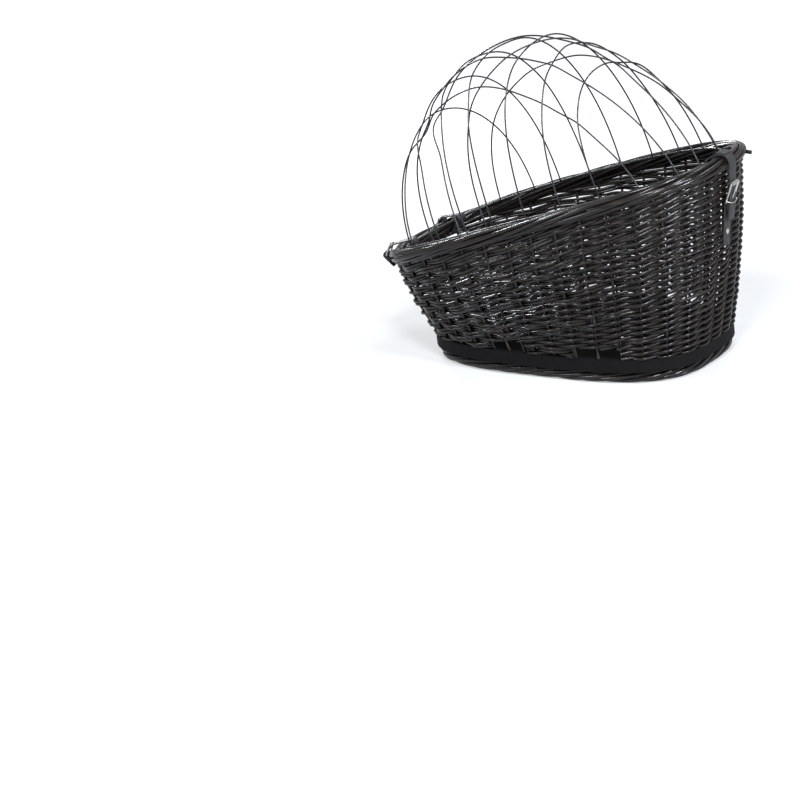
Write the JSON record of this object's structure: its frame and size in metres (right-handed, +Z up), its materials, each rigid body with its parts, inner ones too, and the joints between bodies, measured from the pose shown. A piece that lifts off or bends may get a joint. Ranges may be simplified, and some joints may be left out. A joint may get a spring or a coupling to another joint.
{
  "type": "dog bicycle basket",
  "caption": "Woven oval basket on a board for carrying a small dog on a bicycle, with a wire dome that hinges up on leather straps, a buckled strap closure and a carrier clamp set.",
  "frame": {"origin": "centre of the bounding box's bottom, at the level that the foot border stands on", "axes": "+Z up; +X from the low end with the dome's hinge straps to the high end with the closing strap; -Y is the near side"},
  "size_m": [0.5838, 0.3582, 0.488],
  "materials": {
    "dyed_willow": "dyed peeled willow with a soft sheen",
    "painted_board": "satin dark paint on plywood",
    "coated_wire": "black coated steel wire",
    "black_leather": "matte black leather",
    "nickel_steel": "polished nickel plate",
    "zinc_steel": "zinc plated"
  },
  "bodies": {
    "basket": {"base_board": "painted_board", "foot_border": "dyed_willow", "wicker_wall": "dyed_willow", "rim_border": "dyed_willow", "front_strap_near": "black_leather", "front_strap_far": "black_leather", "front_buckle_near": "nickel_steel", "front_buckle_far": "nickel_steel", "rear_strap": "black_leather", "rear_buckle": "nickel_steel", "rear_rivet": "nickel_steel", "carriage_bolt_1": "zinc_steel", "carriage_bolt_2": "zinc_steel", "carriage_bolt_3": "zinc_steel", "carriage_bolt_4": "zinc_steel"},
    "dome": {"dome_ring": "coated_wire", "dome_hoop_01": "coated_wire", "dome_hoop_02": "coated_wire", "dome_hoop_03": "coated_wire", "dome_hoop_04": "coated_wire", "dome_hoop_05": "coated_wire", "dome_hoop_06": "coated_wire", "dome_hoop_07": "coated_wire", "dome_hoop_08": "coated_wire", "dome_hoop_09": "coated_wire", "dome_hoop_10": "coated_wire", "dome_hoop_11": "coated_wire", "dome_hoop_12": "coated_wire", "rear_tongue": "black_leather"},
    "front_prong_near": {"front_prong_near": "nickel_steel"},
    "front_prong_far": {"front_prong_far": "nickel_steel"},
    "rear_prong": {"rear_prong": "nickel_steel"},
    "rear_roller": {"rear_roller": "nickel_steel"},
    "clamp_front": {"clamp_plate_front": "zinc_steel", "washer_1": "zinc_steel", "washer_2": "zinc_steel"},
    "clamp_rear": {"clamp_plate_rear": "zinc_steel", "washer_3": "zinc_steel", "washer_4": "zinc_steel"},
    "wing_nut_1": {"wing_nut_1": "zinc_steel"},
    "wing_nut_2": {"wing_nut_2": "zinc_steel"},
    "wing_nut_3": {"wing_nut_3": "zinc_steel"},
    "wing_nut_4": {"wing_nut_4": "zinc_steel"}
  },
  "joints": [
    {"name": "dome_open", "type": "hinge", "parent": "basket", "child": "dome", "pos_m": [-0.24127, 0, 0.17079], "axis": [0, -1, 0], "range_deg": [0, 70], "deforming": ["rear_tongue"]},
    {"name": "front_prong_near_swing", "type": "hinge", "parent": "basket", "child": "front_prong_near", "pos_m": [-0.28459, -0.07385, 0.15122], "axis": [0.2079, -0.9781, 0], "range_deg": [0, 25]},
    {"name": "front_prong_far_swing", "type": "hinge", "parent": "basket", "child": "front_prong_far", "pos_m": [-0.28459, 0.07385, 0.15122], "axis": [-0.2079, -0.9781, 0], "range_deg": [0, 25]},
    {"name": "rear_prong_swing", "type": "hinge", "parent": "basket", "child": "rear_prong", "pos_m": [0.27506, 0, 0.249], "axis": [0, 1, 0], "range_deg": [0, 25]},
    {"name": "rear_roller_spin", "type": "hinge", "parent": "basket", "child": "rear_roller", "pos_m": [0.28662, 0, 0.27776], "axis": [0, 1, 0], "continuous": true},
    {"name": "clamp_front_slide", "type": "slide", "parent": "basket", "child": "clamp_front", "axis": [0, 0, 1], "range_m": [0, 0.007]},
    {"name": "clamp_rear_slide", "type": "slide", "parent": "basket", "child": "clamp_rear", "axis": [0, 0, 1], "range_m": [0, 0.007]},
    {"name": "wing_nut_1_turn", "type": "hinge", "parent": "clamp_front", "child": "wing_nut_1", "pos_m": [-0.08324, -0.042, 0.0008], "axis": [0, 0, 1], "continuous": true},
    {"name": "wing_nut_2_turn", "type": "hinge", "parent": "clamp_front", "child": "wing_nut_2", "pos_m": [-0.08324, 0.042, 0.0008], "axis": [0, 0, 1], "continuous": true},
    {"name": "wing_nut_3_turn", "type": "hinge", "parent": "clamp_rear", "child": "wing_nut_3", "pos_m": [0.09676, -0.042, 0.0008], "axis": [0, 0, 1], "continuous": true},
    {"name": "wing_nut_4_turn", "type": "hinge", "parent": "clamp_rear", "child": "wing_nut_4", "pos_m": [0.09676, 0.042, 0.0008], "axis": [0, 0, 1], "continuous": true}
  ]
}
